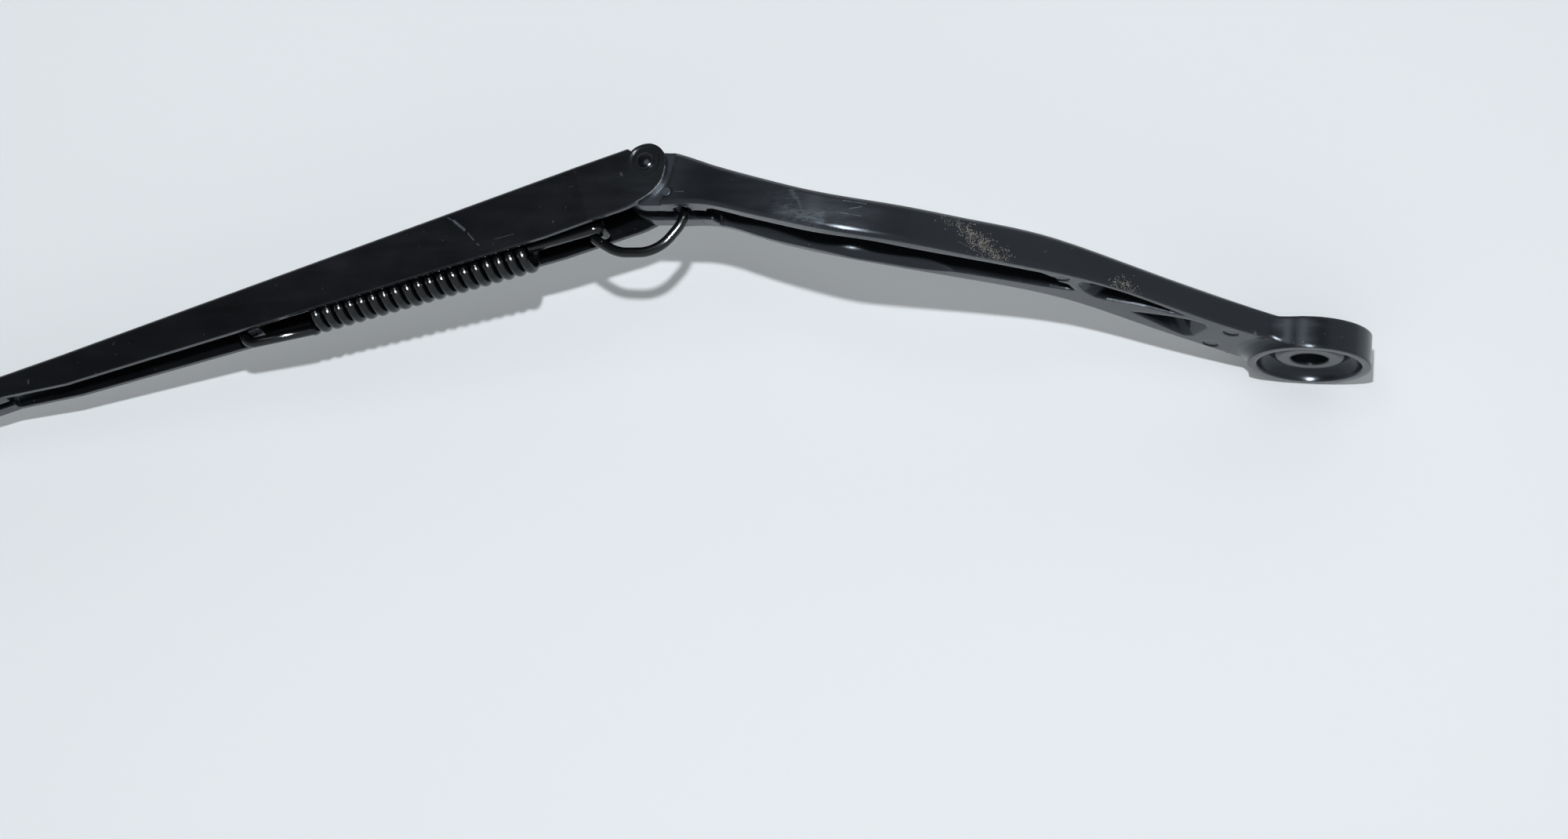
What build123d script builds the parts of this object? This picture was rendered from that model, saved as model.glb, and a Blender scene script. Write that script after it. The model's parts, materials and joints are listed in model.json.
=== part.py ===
from build123d import *
import math
import os

# Boss on the wiper spindle
BOSS_D = 31.4
BOSS_H = 8.8
BOSS_TOP_ROUND = 2.2
SPINDLE_BORE_D = 9.8
SEAT_DEPTH = 1.7
SEAT_D = 17.0
RECESS_D = 27.0
RECESS_DEPTH = 3.6
NUT_SEAT_D = 20.0
NUT_SEAT_DEPTH = 0.7
NECK_HALF_W = 9.24
NECK_PAST_FILLET = 0.707
NEAR_NECK_FILLET = 14.0
FAR_NECK_FILLET = 9.0
NECK_LOW = 2.8
NECK_TOP = 8.2

# Centre line of the head in plan: a straight run, a bend, a run along +X
BEND_ANGLE = 32.3
BEND_RADIUS = 25.0
HINGE_X = 157.6
HINGE_Y = 66.0
HINGE_Z = 31.0

# Stations along the head: distance, half width, near and far underside levels, top level, edge round
HEAD_STATIONS = [
    (5.0, 9.2, 2.9, 2.9, 8.5, 0.5),
    (20.0, 9.2, 2.9, 2.9, 9.7, 0.5),
    (32.0, 9.3, 4.6, 4.6, 11.7, 0.8),
    (46.0, 9.7, 7.0, 7.0, 14.0, 0.9),
    (62.0, 9.4, 9.4, 9.4, 17.1, 0.9),
    (78.0, 9.3, 10.3, 10.3, 19.5, 0.9),
    (98.0, 9.5, 10.7, 10.4, 20.1, 0.9),
    (117.0, 9.4, 11.1, 10.4, 20.5, 0.9),
    (128.0, 9.7, 12.1, 11.2, 21.5, 0.9),
    (140.0, 10.2, 14.7, 13.8, 24.3, 0.9),
    (152.0, 10.0, 17.6, 17.2, 27.7, 0.9),
    (160.0, 9.5, 19.5, 19.4, 30.3, 0.9),
    (167.8, 9.3, 19.8, 19.8, 33.0, 0.9),
    (172.5, 9.3, 19.8, 19.8, 33.5, 0.9),
]
HEAD_WALL = 3.4
HEAD_ROOF = 2.8
LONG_POCKET_START = 76.0
POCKET_END = 161.0
POCKET_CORNER_R = 2.8

# Outlines of the two small pockets and of the long pocket's narrow end: distance along the head, side
UPPER_POCKET = [(66.0, 5.2), (65.0, 3.0), (62.6, 0.4), (59.2, -1.4), (56.0, -0.9), (47.0, 3.0), (40.0, 4.9),
                (36.9, 6.4), (44.7, 7.2), (53.6, 7.5), (62.0, 7.1), (65.2, 6.4)]
LOWER_POCKET = [(48.2, -3.0), (45.3, -0.9), (39.9, 2.5), (34.9, 4.8), (30.9, 5.3), (29.6, 3.8), (29.9, -0.4),
                (30.2, -4.6), (31.8, -6.2), (35.6, -5.7), (42.5, -4.2)]
NARROW_END = [(72.6, 4.8), (70.0, 2.6), (67.2, 2.2), (64.3, -0.8), (66.0, -1.8), (70.5, -2.9)]
SMALL_POCKET_S = 48.0
SMALL_POCKET_DEPTH = 4.2
SMALL_POCKET_FLOOR = 0.72
FAR_WALL_SHIFT = 2.3
RAIL_SLOPE_W = 1.2
RAIL_SLOPE_H = 1.8
EJECTOR_MARK_D = 4.2
EJECTOR_MARK_DEPTH = 0.3

# Ejector marks: distance along the head, side, level and slope of the underside there
EJECTOR_MARKS = [(24.0, 5.0, 3.43, 0.137), (24.8, -6.2, 3.54, 0.137), (70.3, 5.1, 10.0, 0.051)]

# Hinge tongue, measured from the hinge axis
CHANNEL_W = 18.6
SHEET_T = 1.5
EAR_GAP = 0.15
TONGUE_BOTTOM = 11.2
TONGUE_TOP = 2.5
EYE_R = 4.6
STEP_TOP = (-8.4, 5.0)
STEP_MIDDLE = (-7.3, -2.6)
STEP_FOOT = (-3.6, -14.0)
STEP_REACH = 29.0
LINK_SLOT_W = 6.6
LINK_SLOT_ROOF = 3.8
LINK_SLOT_START = -16.5
NOTCH_D = 4.6
NOTCH_X = -9.2
NOTCH_Y = 3.9
NOTCH_ROOF = 6.0

# Hinge rivet
RIVET_D = 5.0
RIVET_FIT = 0.05
RIVET_SPIGOT_D = 3.4
RIVET_SPIGOT_FIT = 0.02
RIVET_SHOULDER_GAP = 0.05
RIVET_HEAD_D = 4.6
RIVET_HEAD_H = 0.9
EAR_DIMPLE_D = 7.6
EAR_DIMPLE_DEPTH = 0.2

# Channel, in its own axes: a down its length, b square to its web
ARM_SLOPE = 19.16
WEB_RISE = 5.1
WEB_START = 3.8
EAR_NOTCH_A = 2.7
EAR_NOTCH_B = 3.75
WALL_H = 15.4
WALL_TAPER_START = 30.0
WIDTH_TAPER_START = 18.0
TAPER_END = 163.0
WALL_H_AT_TAPER_END = 8.4
CRIMP_START = 180.0
CHANNEL_END = 206.0
CRIMP_LIP = 2.4
FOLD_ROUND = 1.2

# Flat rod
ROD_W = 8.0
ROD_T = 3.0
ROD_FIT = 0.05
ROD_CLOSE_GAP = 0.05
LUG_A = 109.4
LUG_BOTTOM = -6.1
LUG_HOLE_FIT = 0.3
HOOK_A = 262.0
HOOK_INNER_R = 3.2
HOOK_RETURN = 20.0

# Spring
WIRE_D = 2.7
COIL_D = 9.7
COIL_START_A = 34.9
COIL_START_B = -9.8
COIL_END_A = 96.4
COIL_END_B = -6.1
COIL_TURNS = 19.75
COIL_FACETS = 10
EYE_LEG = 1.8
LEG_BEND_R = 2.0
HOOK_BEND_R = 2.8
HOOK_PAST_LUG = 2.6
HOOK_CENTRE_B = -4.8

# Link and its pin, measured from the hinge axis
LINK_D = 2.6
LINK_FIT = 0.06
LINK_KNEE = -12.6
LINK_BOTTOM = -21.0
LINK_TOE_X = -2.3
LINK_BEND_R = 10.0
LINK_RISE = 30.0
PIN_D = 2.2
PIN_X = -6.4
PIN_Z = -8.3
PIN_PROUD = 0.2
PIN_FIT = 0.01
CURL_X = 12.4
CURL_Z = -15.4

NECK_TANGENT = math.sqrt((BOSS_D / 2 + NEAR_NECK_FILLET) ** 2 - (NECK_HALF_W + NEAR_NECK_FILLET) ** 2)
NECK_END = NECK_TANGENT + NECK_PAST_FILLET
RUN = HINGE_Y / math.sin(math.radians(BEND_ANGLE))
BEND_TANGENT = BEND_RADIUS * math.tan(math.radians(BEND_ANGLE / 2))
BEND_START = RUN - BEND_TANGENT
BEND_LENGTH = BEND_RADIUS * math.radians(BEND_ANGLE)
TONGUE_W = CHANNEL_W - 2 * (SHEET_T + EAR_GAP)
CHANNEL_W_AT_END = ROD_W + 2 * (SHEET_T + ROD_FIT)
WEB_INNER = WEB_RISE - SHEET_T
ROD_TOP = WEB_INNER - ROD_CLOSE_GAP
ROD_LOW = ROD_TOP - ROD_T
LIP_TOP = ROD_LOW - ROD_CLOSE_GAP
HOOK_CENTRE_A = LUG_A + HOOK_PAST_LUG
LUG_HOLE_B = HOOK_CENTRE_B + HOOK_BEND_R
LUG_HOLE_D = WIRE_D + 2 * LUG_HOLE_FIT
BORE_MIDDLE = (SEAT_DEPTH + BOSS_H - NUT_SEAT_DEPTH) / 2

SLOPE = math.radians(ARM_SLOPE)
ALONG = (math.cos(SLOPE), 0, -math.sin(SLOPE))
ACROSS = (math.sin(SLOPE), 0, math.cos(SLOPE))
HINGE_AT = (HINGE_X, HINGE_Y, HINGE_Z)
HINGE_SIDE = Plane(origin=HINGE_AT, x_dir=(1, 0, 0), z_dir=(0, -1, 0))
ARM_SIDE = Plane(origin=HINGE_AT, x_dir=ALONG, z_dir=(0, -1, 0))
ARM_PLAN = Plane(origin=HINGE_AT, x_dir=ALONG, z_dir=ACROSS)


def arm_point(a, b, y=0.0):
    return ARM_PLAN.from_local_coords((a, y, b))


def head_plane(s):
    """Plane square to the head at distance s along its centre line."""
    turn = math.radians(BEND_ANGLE)
    if s < BEND_START:
        heading = turn
        x = s * math.cos(turn)
        y = s * math.sin(turn)
    elif s < BEND_START + BEND_LENGTH:
        heading = turn - (s - BEND_START) / BEND_RADIUS
        x = BEND_START * math.cos(turn) + BEND_RADIUS * (math.sin(turn) - math.sin(heading))
        y = BEND_START * math.sin(turn) - BEND_RADIUS * (math.cos(turn) - math.cos(heading))
    else:
        heading = 0.0
        x = RUN * math.cos(turn) + BEND_TANGENT + s - BEND_START - BEND_LENGTH
        y = HINGE_Y
    side = (-math.sin(heading), math.cos(heading), 0)
    ahead = (math.cos(heading), math.sin(heading), 0)
    return Plane(origin=(x, y, 0), x_dir=side, z_dir=ahead)


def plan_point(s, t):
    """Point in plan at distance s along the head and t to its left."""
    p = head_plane(s).from_local_coords((t, 0, 0))
    return (p.X, p.Y)


def head_body():
    sections = []
    for s, half, near, far, high, c in HEAD_STATIONS:
        ring = Polyline((half, near + c), (half, high - c), (half - c, high), (c - half, high),
                        (-half, high - c), (-half, far + c), (c - half, far), (half - c, near), close=True)
        sections.append(head_plane(s) * make_face(ring))
    return loft(sections)


def pocket_roof():
    sections = []
    for s, half, near, far, high, c in HEAD_STATIONS:
        top = high - HEAD_ROOF
        floor = -8.0
        rect = Rectangle(2 * half - 1.0, top - floor)
        sections.append(head_plane(s) * Pos(0, (top + floor) / 2) * rect)
    return loft(sections)


def long_pocket():
    half = CHANNEL_W / 2 - HEAD_WALL
    bend_mid = BEND_START + BEND_LENGTH / 2
    bend_end = BEND_START + BEND_LENGTH
    near_side = plan_point(LONG_POCKET_START, half + 0.3)
    far_side = plan_point(LONG_POCKET_START, -half + FAR_WALL_SHIFT)
    narrow = Polyline(near_side, *[plan_point(s, t) for s, t in NARROW_END], far_side)
    near = Line(near_side, plan_point(BEND_START, half))
    near_bend = ThreePointArc(plan_point(BEND_START, half), plan_point(bend_mid, half),
                              plan_point(bend_end, half))
    run_end = POCKET_END - POCKET_CORNER_R
    flat_half = half - POCKET_CORNER_R
    reach = POCKET_CORNER_R * math.sqrt(0.5)
    near_run = Line(plan_point(bend_end, half), plan_point(run_end, half))
    near_corner = ThreePointArc(plan_point(run_end, half), plan_point(run_end + reach, flat_half + reach),
                                plan_point(POCKET_END, flat_half))
    front = Line(plan_point(POCKET_END, flat_half), plan_point(POCKET_END, -flat_half))
    far_corner = ThreePointArc(plan_point(POCKET_END, -flat_half),
                               plan_point(run_end + reach, -flat_half - reach), plan_point(run_end, -half))
    far_run = Line(plan_point(run_end, -half), plan_point(bend_end, -half))
    far_bend = ThreePointArc(plan_point(bend_end, -half), plan_point(bend_mid, -half),
                             plan_point(BEND_START, -half))
    far = Line(plan_point(BEND_START, -half), far_side)
    plan = make_face([narrow, near, near_bend, near_run, near_corner, front, far_corner, far_run, far_bend,
                      far])
    return extrude(plan, amount=60) & pocket_roof()


def rail_slope():
    """Sloping inner edge of the far rail, which grows from the pocket's narrow end."""
    sections = []
    lean = RAIL_SLOPE_W / RAIL_SLOPE_H
    for s, half, near, far, high, c in HEAD_STATIONS:
        if LONG_POCKET_START < s < POCKET_END:
            back = max(0, (BEND_START - s) / (BEND_START - LONG_POCKET_START))
            inner = HEAD_WALL - CHANNEL_W / 2 + FAR_WALL_SHIFT * back
            width = RAIL_SLOPE_W * (1 - 0.8 * back)
            wedge = Polyline((inner + 1.2, far - 0.6), (inner - width - 0.6 * lean, far - 0.6),
                             (inner + 1.2, far + (width + 1.2) / lean), close=True)
            sections.append(head_plane(s) * make_face(wedge))
    return loft(sections)


def small_pocket(outline):
    """Pocket with sloping walls, its mouth in the sloping underside."""
    turn = math.radians(BEND_ANGLE)
    first = HEAD_STATIONS[2]
    last = HEAD_STATIONS[4]
    rise = (last[2] - first[2]) / (last[0] - first[0])
    level = first[2] + rise * (SMALL_POCKET_S - first[0])
    x, y = plan_point(SMALL_POCKET_S, 0)
    along = Vector(math.cos(turn), math.sin(turn), rise).normalized()
    side = Vector(-math.sin(turn), math.cos(turn), 0)
    mouth = Plane(origin=(x, y, level), x_dir=along, z_dir=along.cross(side))
    shape = make_face(Polyline(*[(s - SMALL_POCKET_S, t) for s, t in outline], close=True))
    floor = Pos(shape.center().X, shape.center().Y) * scale(Pos(-shape.center().X, -shape.center().Y) * shape,
                                                           SMALL_POCKET_FLOOR)
    cut = loft([mouth * shape, mouth * Pos(0, 0, SMALL_POCKET_DEPTH) * floor], ruled=True)
    return cut + extrude(mouth * shape, amount=-3)


def boss():
    r = BOSS_D / 2
    c = BOSS_TOP_ROUND
    half = Polyline((0, 0), (r, 0), (r, BOSS_H - c), (r - 0.3 * c, BOSS_H - 0.3 * c), (r - c, BOSS_H),
                    (0, BOSS_H), close=True)
    return revolve(Plane.XZ * make_face(half), axis=Axis.Z)


def neck():
    """Web that runs the head into the boss, hollowed where it meets the bottom ring."""
    along = Rot(0, 0, BEND_ANGLE)
    bar = along * Pos(NECK_END / 2, 0) * Rectangle(NECK_END, 2 * NECK_HALF_W)
    plan = Circle(BOSS_D / 2) + bar
    corners = plan.vertices().filter_by(lambda v: math.hypot(v.X, v.Y) < BOSS_D / 2 + 1).sort_by(Axis.X)
    plan = fillet(corners[0], NEAR_NECK_FILLET)
    corners = plan.vertices().filter_by(lambda v: math.hypot(v.X, v.Y) < BOSS_D / 2 + 1).sort_by(Axis.Y)
    plan = fillet(corners[0], FAR_NECK_FILLET)
    web = extrude(plan, amount=NECK_TOP - NECK_LOW)
    r = BOSS_D / 2
    hollow = Polyline((r - 0.1, 0.5), (r + 0.55, 1.5), (r + 1.7, 2.3), (r + 3.6, NECK_LOW),
                      (r + 3.6, NECK_LOW + 0.5), (r - 0.1, NECK_LOW + 0.5), close=True)
    ramp = revolve(Plane.XZ * make_face(hollow), axis=Axis.Z)
    ramp &= extrude(plan, amount=NECK_TOP)
    return Pos(0, 0, NECK_LOW) * web + ramp


def boss_cuts():
    rim = RECESS_D / 2
    groove_out = rim - 2.6
    groove_in = SEAT_D / 2 + 1.2
    profile = [
        Line((0, -1), (rim, -1)),
        Line((rim, -1), (rim, 0)),
        ThreePointArc((rim, 0), (rim - 0.9, 2.3), (groove_out, RECESS_DEPTH)),
        Line((groove_out, RECESS_DEPTH), (groove_in, RECESS_DEPTH)),
        ThreePointArc((groove_in, RECESS_DEPTH), (SEAT_D / 2 + 0.55, 2.3), (SEAT_D / 2 - 0.6, SEAT_DEPTH)),
        Line((SEAT_D / 2 - 0.6, SEAT_DEPTH), (0, SEAT_DEPTH)),
        Line((0, SEAT_DEPTH), (0, -1)),
    ]
    recess = revolve(Plane.XZ * make_face(profile), axis=Axis.Z)
    bore = Cylinder(SPINDLE_BORE_D / 2, 60)
    nut_seat = Pos(0, 0, BOSS_H - NUT_SEAT_DEPTH) * Cylinder(
        NUT_SEAT_D / 2, 20, align=(Align.CENTER, Align.CENTER, Align.MIN))
    return [recess, bore, nut_seat]


def tongue():
    low = -TONGUE_BOTTOM
    outline = [
        Line((-12, low), (0.2, low)),
        ThreePointArc((0.2, low), (4.7, -9.5), (7.1, -6.9)),
        Line((7.1, -6.9), (8.0, -3.6)),
        Line((8.0, -3.6), (6.9, 0.5)),
        Line((6.9, 0.5), (3.4, 1.8)),
        Line((3.4, 1.8), (-3.0, TONGUE_TOP)),
        Line((-3.0, TONGUE_TOP), (-7.4, TONGUE_TOP)),
        Line((-7.4, TONGUE_TOP), (-12, 0.8)),
        Line((-12, 0.8), (-12, low)),
    ]
    side = make_face(outline) + Circle(EYE_R)
    return extrude(HINGE_SIDE * side, amount=TONGUE_W / 2, both=True)


def ear_room():
    """Space beside the tongue that the channel's ears turn in."""
    step = ThreePointArc(STEP_TOP, STEP_MIDDLE, STEP_FOOT)
    front = Polyline(STEP_FOOT, (STEP_REACH, STEP_FOOT[1]), (STEP_REACH, STEP_TOP[1]), STEP_TOP)
    side = make_face([step, front])
    room = extrude(HINGE_SIDE * side, amount=CHANNEL_W, both=True)
    return room - extrude(HINGE_SIDE * side, amount=TONGUE_W / 2, both=True)


def tongue_cuts():
    slot = Pos((LINK_SLOT_START + 12) / 2, -5) * Rectangle(12 - LINK_SLOT_START, 18)
    slot -= Circle(EYE_R)
    slot -= Pos(-20 + 0.5, 10 - LINK_SLOT_ROOF) * Rectangle(40, 20)
    slot_body = extrude(HINGE_SIDE * slot, amount=LINK_SLOT_W / 2, both=True)
    eye = extrude(HINGE_SIDE * Circle(RIVET_D / 2 + RIVET_FIT), amount=20, both=True)
    pin = extrude(HINGE_SIDE * Pos(PIN_X, PIN_Z) * Circle(PIN_D / 2 + PIN_FIT), amount=20, both=True)
    notch = Pos(HINGE_X + NOTCH_X, HINGE_Y + NOTCH_Y, HINGE_Z - NOTCH_ROOF) * Cylinder(
        NOTCH_D / 2, 20, align=(Align.CENTER, Align.CENTER, Align.MAX))
    return [slot_body, eye, pin, notch]


def ejector_mark(s, t, level, rise):
    """Shallow round dimple, square to the underside where it climbs by rise."""
    x, y = plan_point(s, t)
    turn = math.radians(BEND_ANGLE)
    along = Vector(math.cos(turn), math.sin(turn), rise).normalized()
    side = Vector(-math.sin(turn), math.cos(turn), 0)
    face = Plane(origin=(x, y, level + EJECTOR_MARK_DEPTH), x_dir=along, z_dir=along.cross(side))
    return face * Cylinder(EJECTOR_MARK_D / 2, 10, align=(Align.CENTER, Align.CENTER, Align.MAX))


def mounting_head():
    body = boss() + neck() + head_body() - ear_room() + tongue()
    for cut in boss_cuts() + [long_pocket(), small_pocket(UPPER_POCKET), small_pocket(LOWER_POCKET)]:
        body -= cut
    for cut in tongue_cuts() + [rail_slope()]:
        body -= cut
    for mark in EJECTOR_MARKS:
        body -= ejector_mark(*mark)
    return body


def pivot_rivet():
    inner = CHANNEL_W / 2 - SHEET_T - RIVET_SHOULDER_GAP
    face = CHANNEL_W / 2 - EAR_DIMPLE_DEPTH
    shank = Cylinder(RIVET_D / 2, 2 * inner)
    spigot = Cylinder(RIVET_SPIGOT_D / 2, 2 * face)
    head = Cylinder(RIVET_HEAD_D / 2, RIVET_HEAD_H, align=(Align.CENTER, Align.CENTER, Align.MIN))
    head = chamfer(head.edges().group_by(Axis.Z)[-1], RIVET_HEAD_H * 0.6)
    near_head = Pos(0, 0, face) * head
    far_head = Rot(180, 0, 0) * near_head
    return Pos(*HINGE_AT) * Rot(90, 0, 0) * (shank + spigot + near_head + far_head)


def channel_side():
    taper_low = WEB_RISE - WALL_H_AT_TAPER_END
    full_low = WEB_RISE - WALL_H
    end_low = LIP_TOP - SHEET_T
    ear_top = ThreePointArc((EAR_NOTCH_A, EAR_NOTCH_B), (-2.4, 4.1), (-4.95, -2.7))
    ear_low = ThreePointArc((-4.95, -2.7), (-2.5, -6.9), (0.9, -8.95))
    ear_run = ThreePointArc((0.9, -8.95), (5.0, -9.95), (12.0, full_low))
    low_edge = Polyline((12.0, full_low), (WALL_TAPER_START, full_low), (TAPER_END, taper_low),
                        (CRIMP_START, end_low), (CHANNEL_END, end_low), (CHANNEL_END, WEB_RISE),
                        (WEB_START, WEB_RISE), (EAR_NOTCH_A, EAR_NOTCH_B))
    return make_face([ear_top, ear_low, ear_run, low_edge])


def channel_block(inset, top, corner):
    """Tapering block with rounded top corners, as wide as the channel less inset each side."""
    wide = CHANNEL_W / 2 - inset
    slim = CHANNEL_W_AT_END / 2 - inset
    sections = []
    for a, half in ((-8.0, wide), (WIDTH_TAPER_START, wide), (TAPER_END, slim), (CHANNEL_END + 1, slim)):
        square = Plane(origin=arm_point(a, top), x_dir=(0, 1, 0), z_dir=ALONG)
        rect = Pos(0, -15) * Rectangle(2 * half, 30)
        if corner > 0:
            rect = fillet(rect.vertices().group_by(Axis.Y)[-1], corner)
        sections.append(square * rect)
    return loft(sections, ruled=True)


def arm_channel():
    body = extrude(ARM_SIDE * channel_side(), amount=15, both=True)
    body &= channel_block(0, WEB_RISE, FOLD_ROUND)
    body -= channel_block(SHEET_T, WEB_INNER, 0)
    body -= ARM_PLAN * Pos(WEB_START - 10, 0, 5) * Box(20, CHANNEL_W - 2 * SHEET_T, 20)
    lip_y = CHANNEL_W_AT_END / 2 - SHEET_T - CRIMP_LIP / 2
    lip_len = CHANNEL_END - CRIMP_START
    for side in (1, -1):
        lip = Pos(CRIMP_START + lip_len / 2, side * lip_y, LIP_TOP - SHEET_T / 2) * Box(
            lip_len, CRIMP_LIP + 0.1, SHEET_T)
        body += ARM_PLAN * lip
    hole = extrude(HINGE_SIDE * Circle(RIVET_SPIGOT_D / 2 + RIVET_SPIGOT_FIT), amount=20, both=True)
    body -= hole
    dimple = extrude(HINGE_SIDE * Circle(EAR_DIMPLE_D / 2), amount=20, both=True)
    dimple -= extrude(HINGE_SIDE * Circle(EAR_DIMPLE_D), amount=CHANNEL_W / 2 - EAR_DIMPLE_DEPTH, both=True)
    return body - dimple


def wiper_rod():
    hook_b = ROD_LOW - HOOK_INNER_R
    lug = Pos(LUG_A + ROD_T / 2, (LUG_BOTTOM + ROD_TOP) / 2) * Rectangle(ROD_T, ROD_TOP - LUG_BOTTOM)
    bar = Pos((LUG_A + HOOK_A) / 2, (ROD_LOW + ROD_TOP) / 2) * Rectangle(HOOK_A - LUG_A, ROD_T)
    profile = lug + bar
    bend_out = profile.vertices().sort_by_distance((LUG_A, ROD_TOP, 0))[0]
    profile = fillet(bend_out, 3.5)
    bend_in = profile.vertices().sort_by_distance((LUG_A + ROD_T, ROD_LOW, 0))[0]
    profile = fillet(bend_in, 0.6)
    ring = Circle(HOOK_INNER_R + ROD_T) - Circle(HOOK_INNER_R)
    ring &= Pos(10, 0) * Rectangle(20, 40)
    profile += Pos(HOOK_A, hook_b) * ring
    back = Pos(HOOK_A - HOOK_RETURN / 2, hook_b - HOOK_INNER_R - ROD_T / 2) * Rectangle(HOOK_RETURN, ROD_T)
    profile += back
    body = extrude(ARM_SIDE * profile, amount=ROD_W / 2, both=True)
    across_lug = Plane(origin=ARM_PLAN.from_local_coords((0, 0, LUG_HOLE_B)), x_dir=(0, 1, 0), z_dir=ALONG)
    hole = extrude(across_lug * Circle(LUG_HOLE_D / 2), amount=LUG_A + ROD_T + 5)
    return body - hole


def bend_points(centre, first, second, start, end, count):
    """Points round a centre from start to end degrees; first and second are its two half axes."""
    points = []
    for i in range(count + 1):
        angle = math.radians(start + (end - start) * i / count)
        points.append(centre + first * math.cos(angle) + second * math.sin(angle))
    return points


def spring_path():
    mean = (COIL_D - WIRE_D) / 2
    start = arm_point(COIL_START_A, COIL_START_B)
    end = arm_point(COIL_END_A, COIL_END_B)
    axis = (end - start).normalized()
    near_side = Vector(0, 1, 0)
    over = axis.cross(near_side)
    eye = HINGE_SIDE.from_local_coords((CURL_X, CURL_Z, 0))
    elbow = eye + near_side * mean
    back = (start + near_side * mean - elbow).normalized()
    points = [eye - near_side * EYE_LEG]
    leg_centre = elbow + (back - near_side) * LEG_BEND_R
    points += bend_points(leg_centre, back * -LEG_BEND_R, near_side * LEG_BEND_R, 0, 90, 3)
    steps = round(COIL_TURNS * COIL_FACETS)
    for i in range(steps + 1):
        turn = 2 * math.pi * COIL_TURNS * i / steps
        offset = near_side * math.cos(turn) + over * math.sin(turn)
        points.append(start + (end - start) * (i / steps) + offset * mean)
    hook = arm_point(HOOK_CENTRE_A, HOOK_CENTRE_B)
    across = ARM_PLAN.z_dir * HOOK_BEND_R
    along = ARM_PLAN.x_dir * HOOK_BEND_R
    points += bend_points(hook, across * -1, along, 0, 180, 6)
    points.append(hook + across - along * 1.5)
    return Polyline(*points)


def tension_spring():
    path = spring_path()
    section = Plane(origin=path @ 0, z_dir=path % 0) * RegularPolygon(WIRE_D / 2, 6)
    return sweep(section, path=path, transition=Transition.RIGHT)


def spring_link():
    grip = PIN_D / 2 + LINK_FIT + LINK_D / 2
    curl = WIRE_D / 2 + LINK_FIT + LINK_D / 2
    rise = math.radians(LINK_RISE)
    meet_x = CURL_X + curl * math.sin(rise)
    meet_z = CURL_Z - curl * math.cos(rise)
    heel_x = meet_x - (meet_z - LINK_BOTTOM) / math.tan(rise)
    path = Wire([
        ThreePointArc((PIN_X + grip, PIN_Z), (PIN_X, PIN_Z + grip), (PIN_X - grip, PIN_Z)),
        *FilletPolyline((PIN_X - grip, PIN_Z), (PIN_X - grip, LINK_KNEE), (LINK_TOE_X, LINK_BOTTOM),
                        (heel_x, LINK_BOTTOM), (meet_x, meet_z), radius=LINK_BEND_R).edges(),
        ThreePointArc((meet_x, meet_z), (CURL_X + curl, CURL_Z), (CURL_X, CURL_Z + curl)),
    ])
    path = HINGE_SIDE * path
    square = Plane(origin=path @ 0, x_dir=(0, 1, 0), z_dir=path % 0)
    return sweep(square * RegularPolygon(LINK_D / 2, 8, rotation=22.5), path=path)


def link_pin():
    length = CHANNEL_W + 2 * PIN_PROUD
    return extrude(HINGE_SIDE * Pos(PIN_X, PIN_Z) * Circle(PIN_D / 2), amount=length / 2, both=True)


os.makedirs("parts", exist_ok=True)
for make in (mounting_head, pivot_rivet, arm_channel, wiper_rod, tension_spring, spring_link, link_pin):
    export_step(Pos(0, 0, -BORE_MIDDLE) * make(), "parts/" + make.__name__ + ".step")
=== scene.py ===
"""Wiper arm lying on its side on a pale table: black paint, chips and scuffs, and a round-wire spring."""
import json
import math

import bpy
from bpy.props import FloatProperty, FloatVectorProperty, IntProperty, PointerProperty
from bpy.types import Operator, Panel, PropertyGroup
from mathutils import Matrix, Vector


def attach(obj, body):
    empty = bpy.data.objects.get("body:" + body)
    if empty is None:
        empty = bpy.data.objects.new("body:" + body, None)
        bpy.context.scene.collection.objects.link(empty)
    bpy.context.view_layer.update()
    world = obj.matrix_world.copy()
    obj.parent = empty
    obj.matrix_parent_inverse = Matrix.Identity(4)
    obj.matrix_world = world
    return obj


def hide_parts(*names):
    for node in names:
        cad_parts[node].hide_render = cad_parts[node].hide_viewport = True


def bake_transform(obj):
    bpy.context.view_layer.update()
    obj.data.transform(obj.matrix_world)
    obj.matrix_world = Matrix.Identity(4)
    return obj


bl_info = {
    "name": "Wiper Arm",
    "version": (1, 0, 0),
    "blender": (4, 5, 0),
    "location": "View3D > Sidebar > Wiper Arm",
    "description": "Paints a wiper arm, winds its spring and lays it on a pale table",
    "category": "Object",
}

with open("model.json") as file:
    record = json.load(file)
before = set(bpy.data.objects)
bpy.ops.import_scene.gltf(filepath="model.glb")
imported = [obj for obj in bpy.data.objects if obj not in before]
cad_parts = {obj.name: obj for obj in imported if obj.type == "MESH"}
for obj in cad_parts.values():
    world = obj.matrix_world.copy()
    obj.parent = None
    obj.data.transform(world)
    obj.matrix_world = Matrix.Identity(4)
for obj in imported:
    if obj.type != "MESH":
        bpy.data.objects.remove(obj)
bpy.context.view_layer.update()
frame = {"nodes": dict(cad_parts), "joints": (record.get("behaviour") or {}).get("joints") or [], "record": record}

# Places and directions that the frame gives, in metres
JOINTS = {joint["name"]: joint for joint in frame["joints"]}
MOUNTS = {mount["name"]: mount for mount in frame["record"]["mounts"]}
HINGE = Vector(JOINTS["arm_lift"]["pos_m"])
LINK_PIN = Vector(JOINTS["link_turn"]["pos_m"])
SPRING_EYE = Vector(JOINTS["spring_draw"]["deforming_nodes"][0]["fixed_end_m"])
ALONG = Vector(MOUNTS["blade_hook"]["axis"])
X_AXIS = Vector((1, 0, 0))
Y_AXIS = Vector((0, 1, 0))
Z_AXIS = Vector((0, 0, 1))
ACROSS = ALONG.cross(Y_AXIS)

MM = 0.001

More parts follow.
